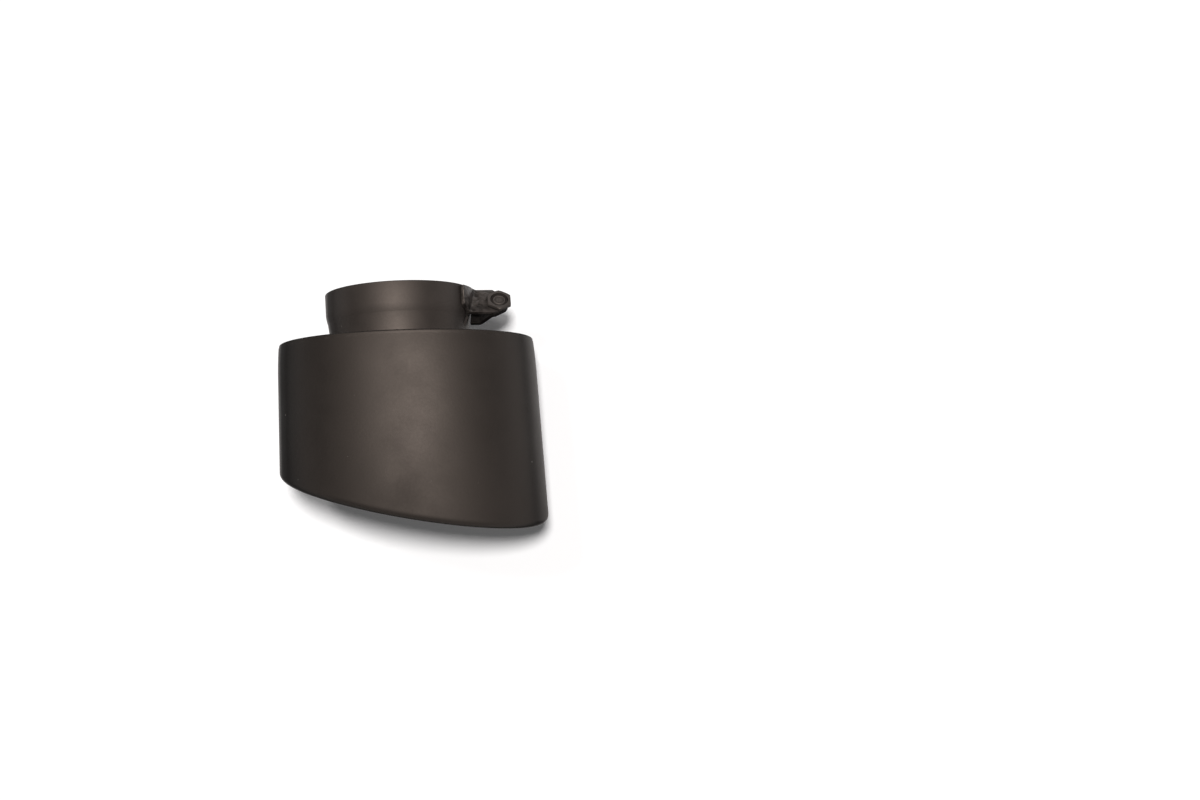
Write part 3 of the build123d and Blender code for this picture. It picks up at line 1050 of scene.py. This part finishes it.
class TIP_OT_stage(Operator):
    """Set up the pale floor, the two soft lamps overhead, the room's light and the camera"""

    bl_idname = "exhaust_tip.stage"
    bl_label = "Stage"
    floor_size = 14.0
    floor_roughness = 0.9
    lamp_colour = (1.0, 0.985, 0.97)
    room_colour = (0.97, 0.98, 1.0, 1.0)
    # Place on the tip that both lamps look at
    lamp_target = Vector((0.005, -0.08, 0.0))
    # Turns about X, Y and Z of a camera that would otherwise look straight down
    camera_turns = (radians(6.181), radians(6.05), radians(-3.565))

    def execute(self, context):
        looks = context.scene.tip_stage
        self.lay_floor(looks)
        self.hang_lamp(context, looks, "key_lamp", looks.key_way, looks.key_power)
        self.hang_lamp(context, looks, "fill_lamp", looks.fill_way, looks.fill_power)
        self.light_room(context, looks)
        self.place_camera(context, looks)
        context.scene.view_settings.view_transform = "Standard"
        return {"FINISHED"}

    def lay_floor(self, looks):
        """Wide pale floor under the lowest point, lifted to white where it is seen or mirrored."""
        start_over()
        bpy.ops.mesh.primitive_plane_add(size=self.floor_size, location=(0, 0, cad_box[0].z))
        floor = bpy.context.object
        floor.name = "studio_floor"
        paint = bpy.data.materials.new("pale_floor")
        paint.use_nodes = True
        tree = paint.node_tree
        shader = tree.nodes["Principled BSDF"].inputs
        shader["Base Color"].default_value = (*looks.floor_colour, 1.0)
        shader["Roughness"].default_value = self.floor_roughness
        shader["Specular IOR Level"].default_value = 0.0
        path = tree.nodes.new("ShaderNodeLightPath").outputs
        seen = math_node(tree, "ADD", path["Is Camera Ray"], path["Is Glossy Ray"])
        seen = math_node(tree, "ADD", seen, path["Is Transmission Ray"], clamp=True)
        wire(tree, math_node(tree, "MULTIPLY", seen, looks.floor_lift), shader["Emission Strength"])
        floor.data.materials.append(paint)

    def hang_lamp(self, context, looks, name, way, power):
        """A round lamp overhead that looks at the tip."""
        lamp = bpy.data.lights.new(name, "AREA")
        lamp.shape = "DISK"
        lamp.size = looks.lamp_size
        lamp.energy = power
        lamp.color = self.lamp_colour
        holder = bpy.data.objects.new(name, lamp)
        context.scene.collection.objects.link(holder)
        holder.location = self.lamp_target + way.normalized() * looks.lamp_distance
        way_down = self.lamp_target - holder.location
        holder.rotation_euler = way_down.to_track_quat("-Z", "Y").to_euler()

    def light_room(self, context, looks):
        """Even soft light from all round."""
        world = context.scene.world or bpy.data.worlds.new("room")
        context.scene.world = world
        world.use_nodes = True
        background = world.node_tree.nodes["Background"].inputs
        background["Color"].default_value = self.room_colour
        background["Strength"].default_value = looks.room_level

    def place_camera(self, context, looks):
        """Camera above the tip, looking down."""
        camera = bpy.data.cameras.new("camera")
        camera.lens = looks.lens
        camera.sensor_width = 36.0
        camera.sensor_fit = "HORIZONTAL"
        holder = bpy.data.objects.new("camera", camera)
        context.scene.collection.objects.link(holder)
        holder.location = looks.camera_place
        holder.rotation_euler = self.camera_turns
        context.scene.camera = holder


class TIP_PT_sidebar(Panel):
    """Lists the pieces of the exhaust tip and their sizes"""

    bl_idname = "TIP_PT_sidebar"
    bl_label = "Exhaust tip"
    bl_space_type = "VIEW_3D"
    bl_region_type = "UI"
    bl_category = "Exhaust tip"

    def draw(self, context):
        for operator in operators:
            self.layout.operator(operator.bl_idname)
        for name, group in groups.items():
            box = self.layout.box()
            for key in group.__annotations__:
                box.prop(getattr(context.scene, name), key)


groups = {
    "tip_sleeve": SleeveSizes,
    "tip_collar": CollarSizes,
    "tip_plate": PlateSizes,
    "tip_weld": WeldSizes,
    "tip_clamp": ClampSizes,
    "tip_coating": CoatingLooks,
    "tip_stage": StageLooks,
}
operators = (
    TIP_OT_sleeve,
    TIP_OT_front_plate,
    TIP_OT_collar,
    TIP_OT_collar_weld,
    TIP_OT_clamp_lugs,
    TIP_OT_clamp_bolt,
    TIP_OT_stage,
)


def register():
    for group in groups.values():
        bpy.utils.register_class(group)
    for name, group in groups.items():
        setattr(bpy.types.Scene, name, PointerProperty(type=group))
    for operator in operators:
        bpy.utils.register_class(operator)
    bpy.utils.register_class(TIP_PT_sidebar)


def unregister():
    bpy.utils.unregister_class(TIP_PT_sidebar)
    for operator in reversed(operators):
        bpy.utils.unregister_class(operator)
    for name, group in reversed(groups.items()):
        delattr(bpy.types.Scene, name)
        bpy.utils.unregister_class(group)


def main():
    register()
    bpy.ops.exhaust_tip.sleeve()
    bpy.ops.exhaust_tip.front_plate()
    bpy.ops.exhaust_tip.collar()
    bpy.ops.exhaust_tip.collar_weld()
    bpy.ops.exhaust_tip.clamp_lugs()
    bpy.ops.exhaust_tip.clamp_bolt()
    bpy.ops.exhaust_tip.stage()


if __name__ == "__main__":
    main()
